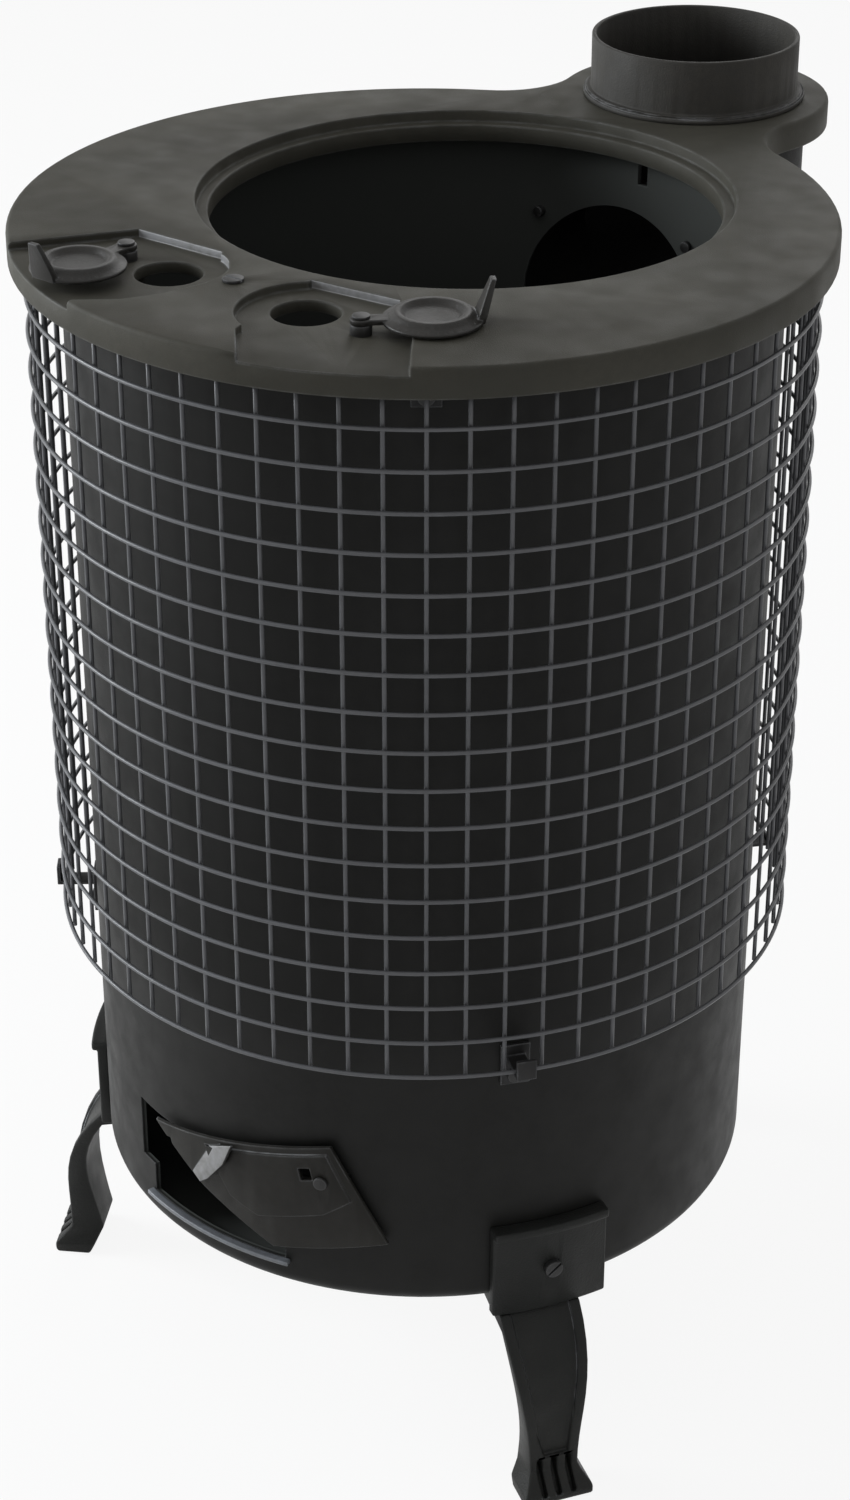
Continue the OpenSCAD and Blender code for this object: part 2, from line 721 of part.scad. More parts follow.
// A leg, facing the front: curved outwards, narrowed to an ankle, with a sunk field and a ribbed foot.
module leg(a) {
    n = 10;
    lug_t = 6;
    seat_y = sqrt(drum_r * drum_r - leg_w * leg_w / 4) - touch;
    zs = [for (k = [0 : n]) ankle_z + (bracket_low - ankle_z) * k / n];
    color(iron) at_drum() at_angle(a) difference() {
        intersection() {
            translate([-leg_w, 0, 0]) rotate([90, 0, 90]) linear_extrude(2 * leg_w)
                polygon(concat(
                    [[-toe_r + 20, 0], [-toe_r + 1.5, 0], [-toe_r, 1.5], [-toe_r, 6]],
                    [[-leg_out - 2, 13]],
                    [for (z = zs) [-leg_front(z), z]],
                    [[-seat_y, bracket_low], [-seat_y, drum_z - 0.1 * touch]],
                    [[14 - foot_bolt_y, drum_z - 0.1 * touch], [14 - foot_bolt_y, drum_z - lug_t]],
                    [[4 - foot_bolt_y, drum_z - lug_t - 3]],
                    [for (k = [n - 1 : -1 : 0]) [-leg_front(zs[k]) + leg_deep(zs[k]), zs[k]]]));
            translate([0, -drum_r / 2, 0]) rotate([90, 0, 0]) linear_extrude(drum_r)
                polygon(concat(
                    [[-foot_half, 0], [foot_half, 0], [foot_half, 6], [ankle_half + 1, 13]],
                    [for (z = zs) [leg_half(z), z]],
                    [[leg_half(bracket_low), drum_z], [-leg_half(bracket_low), drum_z]],
                    [for (k = [n : -1 : 0]) [-leg_half(zs[k]), zs[k]]],
                    [[-ankle_half - 1, 13], [-foot_half, 6]]));
        }
        intersection() {
            translate([-leg_w, 0, 0]) rotate([90, 0, 90]) linear_extrude(2 * leg_w)
                polygon(concat(
                    [for (k = [1 : n]) [-leg_front(zs[k]) - 20, zs[k]]],
                    [for (k = [n : -1 : 1]) [-leg_front(zs[k]) + 2.5, zs[k]]]));
            translate([0, -drum_r / 2, 0]) rotate([90, 0, 0]) linear_extrude(drum_r)
                polygon(concat(
                    [for (k = [1 : n]) [leg_half(zs[k]) - 6, zs[k]]],
                    [for (k = [n : -1 : 1]) [-leg_half(zs[k]) + 6, zs[k]]]));
        }
        for (x = [-8, 0, 8]) translate([x, -toe_r, 0]) rotate([-40, 0, 0])
            translate([-1.5, -14, 4]) cube([3, 16, 20]);
        translate([0, -foot_bolt_y, drum_z - 14]) cylinder(r = bolt_r, h = 20);
    }
}

module leg_bracket_right() { leg_bracket(bracket_angles[0]); }
module leg_bracket_left() { leg_bracket(bracket_angles[1]); }
module leg_bracket_rear() { leg_bracket(bracket_angles[2]); }
module leg_right() { leg(leg_angles[0]); }
module leg_left() { leg(leg_angles[1]); }
module leg_rear() { leg(leg_angles[2]); }

module leg_bolts() {
    color(bright) at_drum() {
        leg_bolt_places() {
            translate([0, 0, drum_in - 9]) cylinder(r = bolt_r, h = drum_t + bracket_t + 9);
            difference() {
                translate([0, 0, drum_r + bracket_t]) cylinder(r = 1.9 * bolt_r, h = 3.2);
                rotate([0, 0, 40]) translate([-3 * bolt_r, -0.6, drum_r + bracket_t + 1.6])
                    cube([6 * bolt_r, 1.2, 4]);
            }
        }
        for (a = leg_angles) at_angle(a) translate([0, -foot_bolt_y, drum_z - stud_l])
            cylinder(r = bolt_r, h = stud_l + drum_t + 8);
    }
}

module leg_nuts() {
    color(bright) at_drum() {
        leg_bolt_places() translate([0, 0, drum_in - 8]) difference() {
            cylinder(r = 1.9 * bolt_r, h = 6, $fn = 6);
            translate([0, 0, -cut]) cylinder(r = bolt_r, h = 10);
        }
        for (a = leg_angles) at_angle(a) translate([0, -foot_bolt_y, drum_z + drum_t]) difference() {
            cylinder(r = 1.9 * bolt_r, h = 6, $fn = 6);
            translate([0, 0, -cut]) cylinder(r = bolt_r, h = 10);
        }
    }
}

module fire_grate() {
    color(dark) at_drum() translate([0, 0, grate_z - grate_t]) difference() {
        cylinder(r = grate_r, h = grate_t);
        for (k = [-5 : 5])
            translate([-sqrt(pow(grate_r - 18, 2) - pow(24 * k, 2)), 24 * k - 5, -cut])
                cube([2 * sqrt(pow(grate_r - 18, 2) - pow(24 * k, 2)), 10, grate_t + 2 * cut]);
    }
}

module grate_lugs() {
    color(steel) at_drum() for (a = [0, 120, 240]) at_angle(a) intersection() {
        translate([-12, -drum_r, grate_z - grate_t - 12]) cube([24, drum_r - grate_r + 14, 12]);
        translate([0, 0, grate_z - grate_t - 12]) cylinder(r = drum_in, h = 12, $fn = 180);
    }
}

top_plate();
body_drum();
drum_ash_ring();
drum_pan();
flue_spigot();
flue_downpipe();
flue_elbow();
elbow_rivets();
cover_left();
cover_right();
pin_left();
pin_right();
land_screw();
ash_shutter();
shutter_rivet();
shutter_keeper();
ash_sill_lip();
guard_hoops();
guard_uprights();
guard_brackets();
guard_hooks();
guard_rivets();
leg_bracket_right();
leg_bracket_left();
leg_bracket_rear();
leg_right();
leg_left();
leg_rear();
leg_bolts();
leg_nuts();
fire_grate();
grate_lugs();
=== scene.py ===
"""A round wood stove of sheet steel and cast iron, dressed for its photograph and for a look from any side.

The stove stands on the floor at z = 0, its front with the draught shutter towards -Y and its flue
towards +Y. Lengths are metres, angles on the stove are degrees from the front towards its right.
"""
import json
import math

import bmesh
import bpy
import numpy as np
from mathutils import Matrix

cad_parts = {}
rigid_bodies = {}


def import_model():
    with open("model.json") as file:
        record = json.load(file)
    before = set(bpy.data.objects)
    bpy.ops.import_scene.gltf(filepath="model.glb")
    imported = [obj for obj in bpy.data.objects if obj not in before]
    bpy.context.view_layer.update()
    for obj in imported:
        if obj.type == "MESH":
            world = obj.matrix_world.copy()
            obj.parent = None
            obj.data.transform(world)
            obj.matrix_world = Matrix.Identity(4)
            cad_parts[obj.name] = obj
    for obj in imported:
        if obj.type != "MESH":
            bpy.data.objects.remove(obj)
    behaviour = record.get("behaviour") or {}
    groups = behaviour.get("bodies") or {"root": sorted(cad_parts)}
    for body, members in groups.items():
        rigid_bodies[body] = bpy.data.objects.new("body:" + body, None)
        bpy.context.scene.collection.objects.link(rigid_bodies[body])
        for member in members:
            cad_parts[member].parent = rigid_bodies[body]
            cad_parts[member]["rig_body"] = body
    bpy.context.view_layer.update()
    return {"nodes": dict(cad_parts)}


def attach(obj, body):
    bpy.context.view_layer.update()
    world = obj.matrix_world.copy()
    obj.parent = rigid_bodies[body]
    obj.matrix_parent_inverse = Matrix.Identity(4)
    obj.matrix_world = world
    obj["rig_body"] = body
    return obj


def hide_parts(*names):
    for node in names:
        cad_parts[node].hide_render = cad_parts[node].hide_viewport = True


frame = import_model()

# ---------------------------------------------------------------------------------------------
# Top plate: a sand-cast iron plate with a pot opening, two air ports in sunk fields and an ear
# for the flue. The casting is rubbed down, its edges are broken by hand and it is painted with
# matt stove black, which wears through to bright iron along the edges.
# ---------------------------------------------------------------------------------------------
drum_axis_y = -0.056
plate_top = 0.636
plate_radius = 0.2
plate_rim_rounding = 0.0024
ear_y = 0.184
ear_radius = 0.072


def screen_colour(red, green, blue):
    """Linear colour of a screen colour in 0-255: ((c/255 + 0.055) / 1.055) ^ 2.4."""
    return tuple(((c / 255 + 0.055) / 1.055) ** 2.4 for c in (red, green, blue)) + (1.0,)


bare_iron = screen_colour(150, 152, 155)
soot_grey = screen_colour(78, 80, 78)


def stove_iron(
        name, colour, patch, roughness, grain, grain_per_m, wear, edge=0.0012, gloss=0.15, soot_radius=None):
    """Painted or bare iron: colour mottled towards a patch colour, grain as bump, bare metal on edges.

    The mottling is a broad noise times a fine one. An edge is where the normal rounded over a small
    radius leaves the true normal: wear = 1 - dot(rounded, true), broken up by a third noise. Soot
    covers what lies nearer the drum's axis than a radius: share = (soot radius - radius) / 1 mm.
    """
    iron = bpy.data.materials.new(name)
    iron.use_nodes = True
    nodes, links = iron.node_tree.nodes, iron.node_tree.links
    shader = nodes["Principled BSDF"]
    shader.inputs["Specular IOR Level"].default_value = gloss
    place = nodes.new("ShaderNodeTexCoord")

    def noise(per_m, detail):
        """A noise on the piece's own coordinates with so many lumps in a metre."""
        lumps = nodes.new("ShaderNodeTexNoise")
        lumps.inputs["Scale"].default_value = per_m
        lumps.inputs["Detail"].default_value = detail
        links.new(place.outputs["Object"], lumps.inputs["Vector"])
        return lumps.outputs["Fac"]

    def spread(value, low, high, out_low, out_high):
        """A value carried from one range to another and held inside it."""
        ramp = nodes.new("ShaderNodeMapRange")
        limits = zip(("From Min", "From Max", "To Min", "To Max"), (low, high, out_low, out_high))
        for socket, number in limits:
            ramp.inputs[socket].default_value = number
        links.new(value, ramp.inputs["Value"])
        return ramp.outputs["Result"]

    def mixed(share, first, second):
        """Two colours mixed by a share; each is a fixed colour or a socket."""
        mixer = nodes.new("ShaderNodeMix")
        mixer.data_type = "RGBA"
        links.new(share, mixer.inputs[0])
        for socket, side in ((mixer.inputs[6], first), (mixer.inputs[7], second)):
            if isinstance(side, tuple):
                socket.default_value = side
            else:
                links.new(side, socket)
        return mixer.outputs[2]

    def product(first, second):
        """Two values multiplied."""
        times = nodes.new("ShaderNodeMath")
        times.operation = "MULTIPLY"
        links.new(first, times.inputs[0])
        links.new(second, times.inputs[1])
        return times.outputs[0]

    broad = spread(noise(per_m=14, detail=3), low=0.35, high=0.68, out_low=0.0, out_high=1.0)
    fine = spread(noise(per_m=240, detail=4), low=0.3, high=0.7, out_low=0.35, out_high=1.0)
    mottled = mixed(product(broad, fine), colour, patch)
    if soot_radius:
        from_axis = nodes.new("ShaderNodeVectorMath")
        from_axis.operation = "MULTIPLY_ADD"
        from_axis.inputs[1].default_value = (1, 1, 0)
        from_axis.inputs[2].default_value = (0, -drum_axis_y, 0)
        links.new(place.outputs["Object"], from_axis.inputs[0])
        radius = nodes.new("ShaderNodeVectorMath")
        radius.operation = "LENGTH"
        links.new(from_axis.outputs[0], radius.inputs[0])
        soot_border = 0.001
        sooty = spread(
            radius.outputs["Value"], low=soot_radius, high=soot_radius - soot_border,
            out_low=0.0, out_high=1.0)
        mottled = mixed(sooty, mottled, soot_grey)
        soot_gloss = 0.02
        dulled = spread(sooty, low=0.0, high=1.0, out_low=gloss, out_high=soot_gloss)
        links.new(dulled, shader.inputs["Specular IOR Level"])
    if wear > 0:
        rounded = nodes.new("ShaderNodeBevel")
        rounded.samples = 6
        rounded.inputs["Radius"].default_value = edge
        true_normal = nodes.new("ShaderNodeNewGeometry")
        facing = nodes.new("ShaderNodeVectorMath")
        facing.operation = "DOT_PRODUCT"
        links.new(rounded.outputs["Normal"], facing.inputs[0])
        links.new(true_normal.outputs["Normal"], facing.inputs[1])
        worn_places = spread(noise(per_m=90, detail=3), low=0.35, high=0.6, out_low=0.15, out_high=1.0)
        on_edge = spread(facing.outputs["Value"], low=0.995, high=0.86, out_low=0.0, out_high=wear)
        rubbed = product(on_edge, worn_places)
        links.new(mixed(rubbed, mottled, bare_iron), shader.inputs["Base Color"])
        bare_share = spread(rubbed, low=0.0, high=1.0, out_low=0.0, out_high=0.55)
        links.new(bare_share, shader.inputs["Metallic"])
    else:
        links.new(mottled, shader.inputs["Base Color"])
    uneven = spread(
        noise(per_m=60, detail=5), low=0.3, high=0.7, out_low=roughness - 0.06, out_high=roughness + 0.08)
    links.new(uneven, shader.inputs["Roughness"])
    bump = nodes.new("ShaderNodeBump")
    bump.inputs["Strength"].default_value = grain
    bump.inputs["Distance"].default_value = 0.0006
    links.new(noise(grain_per_m, detail=3), bump.inputs["Height"])
    links.new(bump.outputs["Normal"], shader.inputs["Normal"])
    return iron


def bevelled(piece, name, radius, segments, sharp=None, clamped=False):
    """Rounds edges by a radius: those that turn by more than an angle in degrees, or the weighted ones."""
    rounding = piece.modifiers.new(name, "BEVEL")
    rounding.width = radius
    rounding.segments = segments
    rounding.limit_method = "ANGLE" if sharp else "WEIGHT"
    if sharp:
        rounding.angle_limit = math.radians(sharp)
    rounding.use_clamp_overlap = clamped
    rounding.harden_normals = True


def softened(name, node, finish, edge):
    """The CAD solid's skin with its loose triangles joined and each sharp edge rounded by a radius."""
    solid = frame["nodes"][node]
    skin = solid.data.copy()
    shell = bmesh.new()
    shell.from_mesh(skin)
    bmesh.ops.remove_doubles(shell, verts=shell.verts, dist=2e-5)
    bmesh.ops.dissolve_limit(
        shell, angle_limit=math.radians(0.5), verts=shell.verts, edges=shell.edges)
    for face in shell.faces:
        face.smooth = True
    shell.to_mesh(skin)
    shell.free()
    piece = bpy.data.objects.new(name, skin)
    bpy.context.scene.collection.objects.link(piece)
    skin.materials.clear()
    skin.materials.append(finish)
    bevelled(piece, "broken_edges", edge, segments=2, sharp=32)
    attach(piece, solid["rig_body"])
    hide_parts(node)
    return piece


plate_black = stove_iron(
    "plate_black", screen_colour(62, 61, 55), screen_colour(72, 70, 63), roughness=0.6, grain=0.35,
    grain_per_m=1500, wear=0.75, edge=0.0018)
plate = softened("plate_casting", "top_plate", plate_black, edge=0.0007)


def weigh_rim(piece):
    """Weights the plate's outer top edge for a bevel of its own, and leaves the sunk fields out.

    An edge belongs to the rim when it lies in the top face and its ends lie on or outside the disc
    and the ear: min(distance - radius of each) > -0.2 mm.
    """
    shell = bmesh.new()
    shell.from_mesh(piece.data)
    weight = shell.edges.layers.float.new("bevel_weight_edge")
    for edge in shell.edges:
        level = all(abs(end.co.z - plate_top) < 1e-4 for end in edge.verts)
        outer = all(
            math.hypot(end.co.x, end.co.y - drum_axis_y) - plate_radius > -2e-4
            and math.hypot(end.co.x, end.co.y - ear_y) - ear_radius > -2e-4 for end in edge.verts)
        if level and outer:
            edge[weight] = 1.0
    shell.to_mesh(piece.data)
    shell.free()


weigh_rim(plate)
bevelled(plate, "rounded_rim", plate_rim_rounding, segments=4)
bpy.context.view_layer.objects.active = plate
plate.modifiers.move(len(plate.modifiers) - 1, 0)

# The sunk fields' back walls, which face the front, take a light iron colour as a painted highlight, but not
# between the ports.
painted_highlight_iron = stove_iron(
    "painted_highlight_iron", screen_colour(150, 151, 154), screen_colour(88, 86, 80), roughness=0.42, grain=0.3,
    grain_per_m=1400, wear=0.6, gloss=0.4)
plate.data.materials.append(painted_highlight_iron)
field_wall_foot, field_wall_top = 0.6322, 0.6358
field_front_y, field_back_y = -0.2, -0.14
land_left_x, land_right_x = -0.02, 0.017
for face in plate.data.polygons:
    middle, normal = face.center, face.normal
    stands = abs(normal.z) < 0.3 and field_wall_foot < middle.z < field_wall_top
    faces_front = normal.y < -0.75 and field_front_y < middle.y < field_back_y
    on_land = land_left_x < middle.x < land_right_x
    face.material_index = int(stands and faces_front and not on_land)

# ---------------------------------------------------------------------------------------------
# Flue: a spigot cast with a foot ring stands on the ear, and a cast elbow hangs under it and is
# riveted to the drum's back with its flange. Both are painted matt black.
# ---------------------------------------------------------------------------------------------
flue_black = stove_iron(
    "flue_black", screen_colour(56, 55, 53), screen_colour(66, 64, 60), roughness=0.6, grain=0.4,
    grain_per_m=1200, wear=0.4)
elbow_black = stove_iron(
    "elbow_black", screen_colour(30, 30, 30), screen_colour(38, 37, 35), roughness=0.66, grain=0.5,
    grain_per_m=1000, wear=0.25)
dull_steel = stove_iron(
    "dull_steel", screen_colour(48, 48, 48), screen_colour(38, 37, 36), roughness=0.42, grain=0.2,
    grain_per_m=2200, wear=0.6, gloss=0.3)
softened("flue_spigot_casting", "flue_spigot", flue_black, edge=0.0008)
softened("flue_downpipe_casting", "flue_downpipe", elbow_black, edge=0.0008)
softened("flue_elbow_casting", "flue_elbow", elbow_black, edge=0.0008)
softened("flue_elbow_rivets", "elbow_rivets", dull_steel, edge=0.0004)

# ---------------------------------------------------------------------------------------------
# Port covers: two small castings with a dished disc and an upturned tab, each on a steel pin,
# and the screw on the land between the ports. Their edges are rubbed bright by fingers.
# ---------------------------------------------------------------------------------------------
cover_black = stove_iron(
    "cover_black", screen_colour(32, 31, 29), screen_colour(42, 40, 37), roughness=0.42, grain=0.3,
    grain_per_m=1500, wear=1.0, edge=0.0009, gloss=0.25)
for side in ("left", "right"):
    softened("port_cover_" + side, "cover_" + side, cover_black, edge=0.0005)
    softened("port_pin_" + side, "pin_" + side, dull_steel, edge=0.0003)
softened("plate_screw", "land_screw", dull_steel, edge=0.0003)

# ---------------------------------------------------------------------------------------------
# Drum: sheet steel rolled to a round wall with a pressed bottom corner, with the ash opening
# cut in its front and a rubbed bright lip along the opening's lower edge. It is painted with
# stove black outside and is dull with soot inside.
# ---------------------------------------------------------------------------------------------
drum_radius = 0.1755
drum_corner = 0.010
drum_gauge = 0.003
# Each window is its lowest and highest angle, then its lowest and highest height.
ash_opening = (-21, 17, 0.146, 0.182)
ash_opening_low = (-17, 13, 0.129, 0.146)
rivet_slot = (10.38, 24.92, 0.1839, 0.1901)
hanger_slit = (174.52, 176.48, 0.605, 0.621)
flue_hole_patch = (158, 202, 0.466, 0.602)
drum_windows = [ash_opening, ash_opening_low, rivet_slot, hanger_slit]

drum_black = stove_iron(
    "drum_black", screen_colour(28, 28, 27), screen_colour(22, 22, 21), roughness=0.5, grain=0.12,
    grain_per_m=1800, wear=0.35, soot_radius=0.1745)
lip_steel = stove_iron(
    "lip_steel", screen_colour(120, 124, 130), screen_colour(80, 82, 86), roughness=0.38, grain=0.2,
    grain_per_m=1500, wear=0.6, gloss=0.5)
softened("ash_lip", "ash_sill_lip", lip_steel, edge=0.0006)


def skinned(name, points, walls, ends, finish, body, nodes):
    """A smooth mesh piece from points and faces, in its finish, riding on its body for CAD nodes."""
    skin = bpy.data.meshes.new(name)
    skin.from_pydata(points.tolist(), [], walls.tolist() + [list(end) for end in ends])
    skin.polygons.foreach_set("use_smooth", np.ones(len(skin.polygons), bool))
    skin.materials.append(finish)
    piece = bpy.data.objects.new(name, skin)
    bpy.context.scene.collection.objects.link(piece)
    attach(piece, body)
    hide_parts(*nodes)
    return piece


def drum_sheet(levels, angles, windows, patch, hole_angle, hole_z, hole_radius):
    """The drum's outer skin as a grid of angle by profile, its windows left out, and a round hole behind.

    The profile runs from the floor's middle over the rounded corner up the wall. A window is a range
    of angles and heights. Round the hole, each grid point on the border of a square patch is joined
    to the hole's rim at the same bearing: rim = middle + hole radius * unit(border - middle).
    """
    turn = np.linspace(0, np.pi / 2, 9)
    floor_z = levels[0] - drum_corner
    floor_middle = 0.02
    bend = drum_radius - drum_corner + drum_corner * np.sin(turn)
    radius = np.concatenate([[floor_middle], bend, [drum_radius] * (len(levels) - 1)])
    height = np.concatenate([[floor_z], floor_z + drum_corner * (1 - np.cos(turn)), levels[1:]])
    way = np.radians(angles)

    def on_wall(around, r, z):
        """Points at angles round the axis, at radii and heights."""
        return np.stack([r * np.sin(around), drum_axis_y - r * np.cos(around), z + 0 * around], -1)

    points = on_wall(way[:, None], radius[None], height[None])
    count, steps = points.shape[:2]
    index = np.arange(count * steps).reshape(count, steps)
    after = np.roll(index, -1, axis=0)
    quads = np.stack([index[:, :-1], after[:, :-1], after[:, 1:], index[:, 1:]], -1)
    closed = np.append(angles, angles[0] + 360)
    middle_angle = (closed[:-1] + closed[1:]) / 2
    middle_z = (height[:-1] + height[1:]) / 2
    kept = np.ones((count, steps - 1), bool)
    for low_angle, high_angle, low_z, high_z in windows + [patch]:
        inside = (middle_angle > low_angle) & (middle_angle < high_angle)
        kept &= ~(inside[:, None] & ((middle_z > low_z) & (middle_z < high_z))[None])
    columns = np.flatnonzero((angles > patch[0] - 0.01) & (angles < patch[1] + 0.01))
    rows = np.flatnonzero((height > patch[2] - 1e-6) & (height < patch[3] + 1e-6))
    border = np.concatenate([
        index[columns, rows[0]], index[columns[-1], rows[1:]],
        index[columns[-2::-1], rows[-1]], index[columns[0], rows[-2:0:-1]]])
    flat = points.reshape(-1, 3)
    border_angle = np.radians(angles)[border // steps] - math.radians(hole_angle)
    bearing = np.stack([drum_radius * np.sin(border_angle), flat[border, 2] - hole_z], -1)
    bearing /= np.linalg.norm(bearing, axis=1, keepdims=True)
    rim_angle = math.radians(hole_angle) + np.arcsin(hole_radius * bearing[:, 0] / drum_radius)
    rim = on_wall(rim_angle, drum_radius, hole_z + hole_radius * bearing[:, 1])
    rim_index = flat.shape[0] + np.arange(len(border))
    collar = np.stack([border, np.roll(border, -1), np.roll(rim_index, -1), rim_index], -1)
    walls = np.concatenate([quads[kept].reshape(-1, 4), collar])
    return np.concatenate([flat, rim]), walls, [index[::-1, 0]]


# A grid line every 2 degrees and one on each window's side; a line too near such a side is dropped.
even_angles = np.arange(-100, 260, 2.0)
window_sides = np.array([side for window in drum_windows for side in window[:2]])
too_near = np.abs(even_angles[:, None] - window_sides).min(axis=1) < 0.95
wall_angles = np.sort(np.concatenate([even_angles[~too_near], window_sides]))
wall_levels = np.concatenate([
    [0.120, 0.129, 0.146, 0.182, 0.1839, 0.1901, 0.22, 0.27, 0.32, 0.37, 0.42],
    np.linspace(flue_hole_patch[2], flue_hole_patch[3], 13),
    [0.605, 0.621, 0.626]])
points, walls, ends = drum_sheet(
    wall_levels, wall_angles, drum_windows, flue_hole_patch, hole_angle=180, hole_z=0.534, hole_radius=0.056)
drum_wall = skinned(
    "drum_wall", points, walls, ends, drum_black, "stove_body", ["body_drum", "drum_ash_ring", "drum_pan"])
gauge = drum_wall.modifiers.new("sheet_gauge", "SOLIDIFY")
gauge.thickness = drum_gauge
gauge.offset = -1
bevelled(drum_wall, "cut_edges", 0.0005, segments=2, sharp=40, clamped=True)

# ---------------------------------------------------------------------------------------------
# Draught shutter: a curved steel plate with a raised field, a slot, a window and a bent finger
# pull, on a rivet with a keeper washer inside the drum.
# ---------------------------------------------------------------------------------------------
shutter_black = stove_iron(
    "shutter_black", screen_colour(40, 39, 36), screen_colour(32, 31, 29), roughness=0.48, grain=0.2,
    grain_per_m=1600, wear=0.7)
pull_painted_highlight = stove_iron(
    "pull_painted_highlight", screen_colour(150, 150, 152), screen_colour(104, 103, 100), roughness=0.4, grain=0.2,
    grain_per_m=1400, wear=0.6, gloss=0.5)
shutter = softened("draught_shutter", "ash_shutter", shutter_black, edge=0.0006)
shutter.data.materials.append(pull_painted_highlight)
# The finger pull's sloping faces take a light steel colour as a painted highlight: they stand proud of the
# plate, left of an angle.
proud_radius = 0.1809
pull_end = math.radians(9)
for face in shutter.data.polygons:
    middle, normal = face.center, face.normal
    around = math.atan2(middle.x, -(middle.y - drum_axis_y))
    outwards = normal.x * math.sin(around) - normal.y * math.cos(around)
    proud = math.hypot(middle.x, middle.y - drum_axis_y) > proud_radius
    face.material_index = int(proud and around < pull_end and 0.6 < outwards < 0.985)
softened("draught_rivet", "shutter_rivet", dull_steel, edge=0.0004)
softened("draught_keeper", "shutter_keeper", dull_steel, edge=0.0004)

# ---------------------------------------------------------------------------------------------
# Wire guard: hoops welded over uprights, held off the drum by angle brackets near the top and
# by four hooks at the bottom. The wire is grey and satin, the brackets and hooks are black.
# ---------------------------------------------------------------------------------------------
wire_radius = 0.0011
wire_sides = 8
hoop_radius = 0.1925
hoop_count = 18
hoop_pitch = 0.020
hoop_top = 0.6045
hoop_half = math.radians(147.0)
hoop_points = 150
upright_radius = 0.19025
upright_step = 5.75
upright_pairs = 26
upright_foot = 0.2625
upright_top = 0.623
upright_points = 19

wire_black = stove_iron(
    "wire_black", screen_colour(98, 99, 102), screen_colour(84, 85, 88), roughness=0.36, grain=0.1,
    grain_per_m=2500, wear=0.0, gloss=0.4)
hook_black = stove_iron(
    "hook_black", screen_colour(44, 44, 45), screen_colour(52, 51, 50), roughness=0.46, grain=0.15,
    grain_per_m=1800, wear=0.8)


def wire(routes, radius, sides):
    """Closed tubes round routes: route point + radius * (cos * out + sin * up).

    routes is (wires, points, 3, 3): each point's place, its out direction and its up direction.
    """
    turn = np.linspace(0, 2 * np.pi, sides, endpoint=False)
    place, out, up = routes[:, :, None, 0], routes[:, :, None, 1], routes[:, :, None, 2]
    around = np.cos(turn)[:, None] * out + np.sin(turn)[:, None] * up
    points = place + radius * around
    wires, steps = routes.shape[:2]
    index = np.arange(wires * steps * sides).reshape(wires, steps, sides)
    beside = np.roll(index, -1, axis=2)
    walls = np.stack([index[:, :-1], beside[:, :-1], beside[:, 1:], index[:, 1:]], -1).reshape(-1, 4)
    ends = np.concatenate([index[:, 0, ::-1], index[:, -1]])
    return points.reshape(-1, 3), walls, ends


drum_axis = np.array([0, drum_axis_y, 0])
hoop_angle = np.linspace(-hoop_half, hoop_half, hoop_points)
hoop_out = np.stack([np.sin(hoop_angle), -np.cos(hoop_angle), 0 * hoop_angle], -1)
hoops = np.zeros((hoop_count, hoop_points, 3, 3))
hoops[:, :, 0] = hoop_radius * hoop_out + drum_axis
hoops[:, :, 0, 2] = (hoop_top - hoop_pitch * np.arange(hoop_count))[:, None]
hoops[:, :, 1] = hoop_out
hoops[:, :, 2] = (0, 0, 1)
points, walls, ends = wire(hoops, wire_radius, wire_sides)
skinned("guard_hoop_wires", points, walls, ends, wire_black, "stove_body", ["guard_hoops"])

upright_angle = np.radians(upright_step) * (np.arange(-upright_pairs, upright_pairs) + 0.5)
upright_out = np.stack([np.sin(upright_angle), -np.cos(upright_angle), 0 * upright_angle], -1)
upright_side = np.stack([np.cos(upright_angle), np.sin(upright_angle), 0 * upright_angle], -1)
uprights = np.zeros((len(upright_angle), upright_points, 3, 3))
uprights[:, :, 0] = (upright_radius * upright_out + drum_axis)[:, None]
uprights[:, :, 0, 2] = np.linspace(upright_foot, upright_top, upright_points)
uprights[:, :, 1] = upright_side[:, None]
uprights[:, :, 2] = -upright_out[:, None]
points, walls, ends = wire(uprights, wire_radius, wire_sides)
skinned("guard_upright_wires", points, walls, ends, wire_black, "stove_body", ["guard_uprights"])
softened("guard_top_brackets", "guard_brackets", hook_black, edge=0.0004)
softened("guard_bottom_hooks", "guard_hooks", hook_black, edge=0.0004)
softened("guard_fixing_rivets", "guard_rivets", dull_steel, edge=0.0003)

# ---------------------------------------------------------------------------------------------
# Legs: three castings with a sunk front and a ribbed foot, each held by a stud in the drum's
# floor under a bracket plate with a slotted bolt.
# ---------------------------------------------------------------------------------------------
leg_black = stove_iron(
    "leg_black", screen_colour(33, 34, 33), screen_colour(44, 44, 42), roughness=0.48, grain=0.55,
    grain_per_m=1100, wear=0.5)
for side in ("right", "left", "rear"):
    softened("leg_casting_" + side, "leg_" + side, leg_black, edge=0.0012)
    softened("leg_plate_" + side, "leg_bracket_" + side, leg_black, edge=0.0012)
softened("leg_slotted_bolts", "leg_bolts", dull_steel, edge=0.0004)
softened("leg_hex_nuts", "leg_nuts", dull_steel, edge=0.0004)

# ---------------------------------------------------------------------------------------------
# Fire grate: a slotted iron disc that lies on three welded lugs inside the drum. Both are rough
# and dark with scale from the fire.
# ---------------------------------------------------------------------------------------------
grate_scale = stove_iron(
    "grate_scale", screen_colour(18, 17, 17), screen_colour(26, 23, 22), roughness=0.8, grain=0.8,
    grain_per_m=700, wear=0.1, gloss=0.05)
softened("grate_disc", "fire_grate", grate_scale, edge=0.001)
softened("grate_rests", "grate_lugs", grate_scale, edge=0.0005)

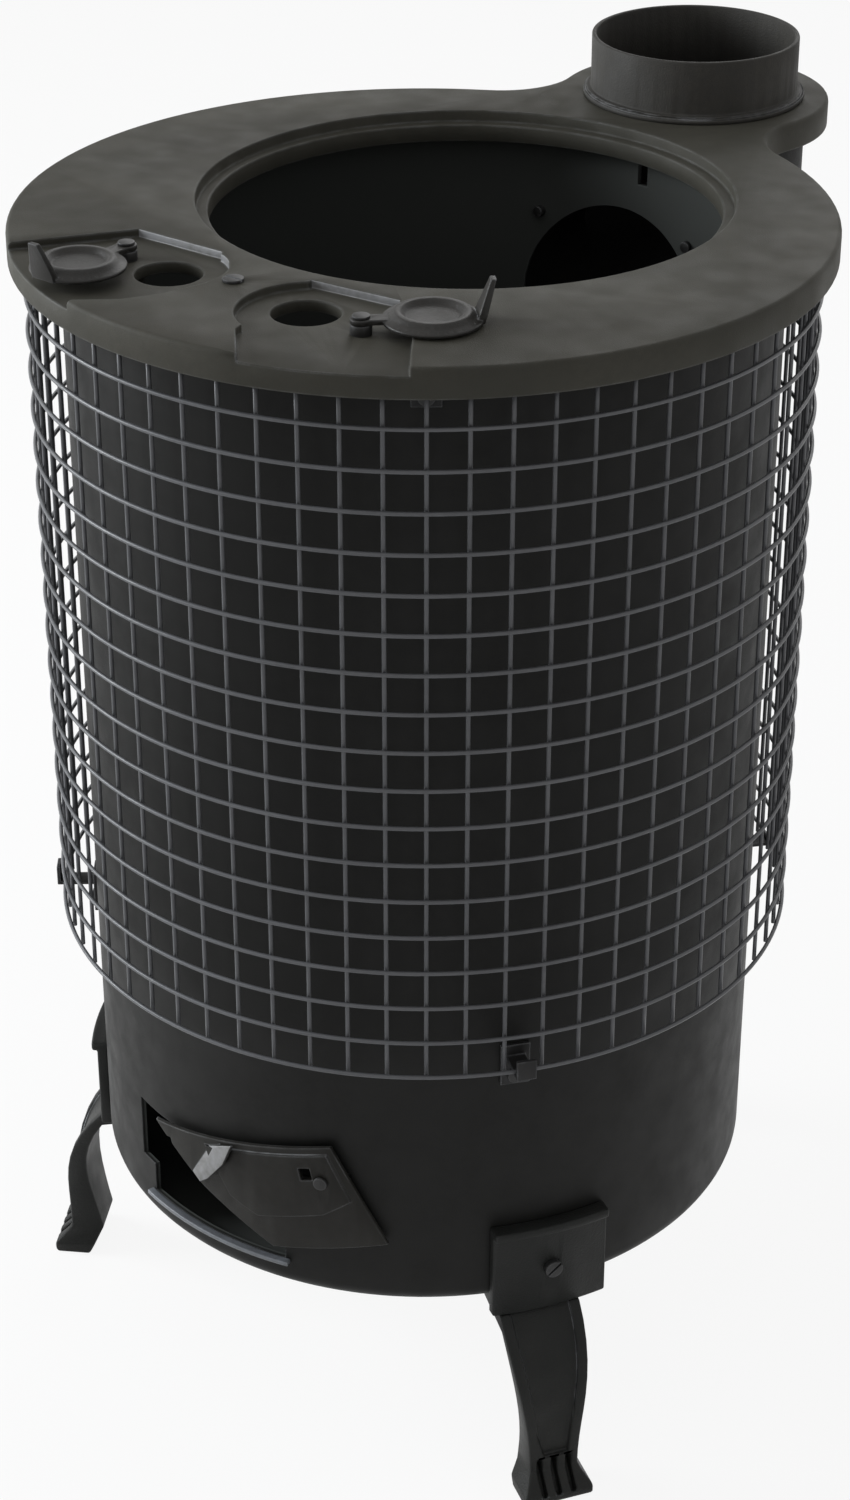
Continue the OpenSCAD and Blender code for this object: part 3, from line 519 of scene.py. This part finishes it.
# ---------------------------------------------------------------------------------------------
# Studio: a pale floor under the stove, a soft key lamp low on the left and a little in front,
# weak lamps above, on the right and behind, and the camera above the plate in front of the
# stove's right.
# ---------------------------------------------------------------------------------------------
scene = bpy.context.scene
scene.view_settings.view_transform = "Standard"

floor_half = 9
floor_corners = [(x * floor_half, y * floor_half, 0) for x, y in ((-1, -1), (1, -1), (1, 1), (-1, 1))]
floor_mesh = bpy.data.meshes.new("floor_sheet")
floor_mesh.from_pydata(floor_corners, [], [(0, 1, 2, 3)])
floor_sheet = bpy.data.objects.new("floor_sheet", floor_mesh)
scene.collection.objects.link(floor_sheet)


def lit_paper(tree, output, surface, share):
    """A pale surface that the camera, gloss and glass see as white paper.

    A share of white glow is mixed into the lit surface for the rays of those three kinds.
    """
    nodes, links = tree.nodes, tree.links
    path = nodes.new("ShaderNodeLightPath")
    seen = path.outputs["Is Camera Ray"]
    for way in ("Is Glossy Ray", "Is Transmission Ray"):
        either = nodes.new("ShaderNodeMath")
        either.operation = "MAXIMUM"
        links.new(seen, either.inputs[0])
        links.new(path.outputs[way], either.inputs[1])
        seen = either.outputs[0]
    part = nodes.new("ShaderNodeMath")
    part.operation = "MULTIPLY"
    part.inputs[1].default_value = share
    links.new(seen, part.inputs[0])
    glow = nodes.new("ShaderNodeEmission" if surface.node.type != "BACKGROUND" else "ShaderNodeBackground")
    glow.inputs["Color"].default_value = (1, 1, 1, 1)
    glow.inputs["Strength"].default_value = 1.0
    blend = nodes.new("ShaderNodeMixShader")
    links.new(part.outputs[0], blend.inputs[0])
    links.new(surface, blend.inputs[1])
    links.new(glow.outputs[0], blend.inputs[2])
    links.new(blend.outputs[0], output.inputs["Surface"])


paper = bpy.data.materials.new("floor_paper")
paper.use_nodes = True
paper_shader = paper.node_tree.nodes["Principled BSDF"]
paper_shader.inputs["Base Color"].default_value = (0.9, 0.9, 0.9, 1)
paper_shader.inputs["Roughness"].default_value = 0.9
paper_output = paper.node_tree.nodes["Material Output"]
lit_paper(paper.node_tree, paper_output, paper_shader.outputs[0], share=0.9)
floor_mesh.materials.append(paper)

room = bpy.data.worlds.new("room")
scene.world = room
room.use_nodes = True
room_light = room.node_tree.nodes["Background"]
room_light.inputs["Color"].default_value = (1, 1, 1, 1)
room_light.inputs["Strength"].default_value = 0.26
lit_paper(room.node_tree, room.node_tree.nodes["World Output"], room_light.outputs[0], share=1.0)


def lamp(name, place, aim, width, height, watts, colour=(1.0, 1.0, 1.0)):
    """A flat soft lamp at a place, turned so that its face looks at a point."""
    light = bpy.data.lights.new(name, "AREA")
    light.shape = "RECTANGLE"
    light.size = width
    light.size_y = height
    light.energy = watts
    light.color = colour
    holder = bpy.data.objects.new(name, light)
    scene.collection.objects.link(holder)
    holder.location = place
    way = np.array(aim) - np.array(place)
    holder.rotation_euler = (
        math.acos(-way[2] / np.linalg.norm(way)), 0, math.atan2(way[1], way[0]) - math.pi / 2)


cool_white = (0.93, 0.97, 1.0)
lamp("key_lamp", (-2.2, -1.15, 1.15), (0, 0, 0.45), width=1.1, height=1.3, watts=64, colour=cool_white)
lamp("top_lamp", (-0.1, -0.4, 2.6), (0, 0, 0.5), width=1.6, height=1.6, watts=4)
lamp("fill_lamp", (2.2, -0.3, 1.2), (0, 0, 0.4), width=1.2, height=1.6, watts=2)
lamp("back_lamp", (-0.9, 2.2, 1.9), (0, 0, 0.5), width=1.6, height=1.0, watts=9)

camera_place = (0.8512, -1.1856, 1.1274)
camera_down = math.radians(29.13)
camera_way_x, camera_way_y = -0.6018, 0.7986
view = bpy.data.cameras.new("camera")
view.sensor_fit = "VERTICAL"
view.sensor_height = 36
view.lens = 73.58
view.shift_x = 0.0009
view.clip_start = 0.05
camera = bpy.data.objects.new("camera", view)
scene.collection.objects.link(camera)
camera.location = camera_place
camera.rotation_euler = (
    math.radians(90) - camera_down, 0, math.atan2(camera_way_y, camera_way_x) - math.pi / 2)
scene.camera = camera
